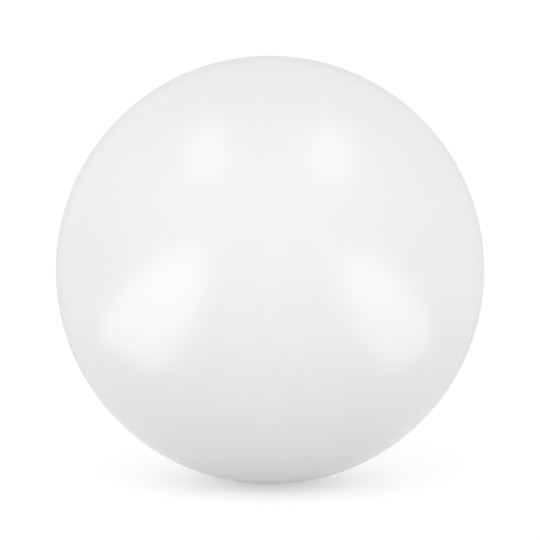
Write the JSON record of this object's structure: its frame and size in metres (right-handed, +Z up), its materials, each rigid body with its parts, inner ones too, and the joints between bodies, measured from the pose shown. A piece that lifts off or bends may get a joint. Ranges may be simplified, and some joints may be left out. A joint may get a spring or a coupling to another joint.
{
  "type": "cue ball",
  "caption": "Plain white polished cue ball: a round resin shell cast over a heavier filled resin core, for pool tables.",
  "frame": {"origin": "centre of the ball", "axes": "+Z up, away from the table that the ball rests on; every axis through the centre is an axis of symmetry"},
  "size_m": [0.0572, 0.0572, 0.0572],
  "materials": {
    "white_resin": "gloss",
    "filled_resin": "matte"
  },
  "bodies": {
    "root": {"outer_shell": "white_resin", "filled_core": "filled_resin"}
  },
  "joints": []
}
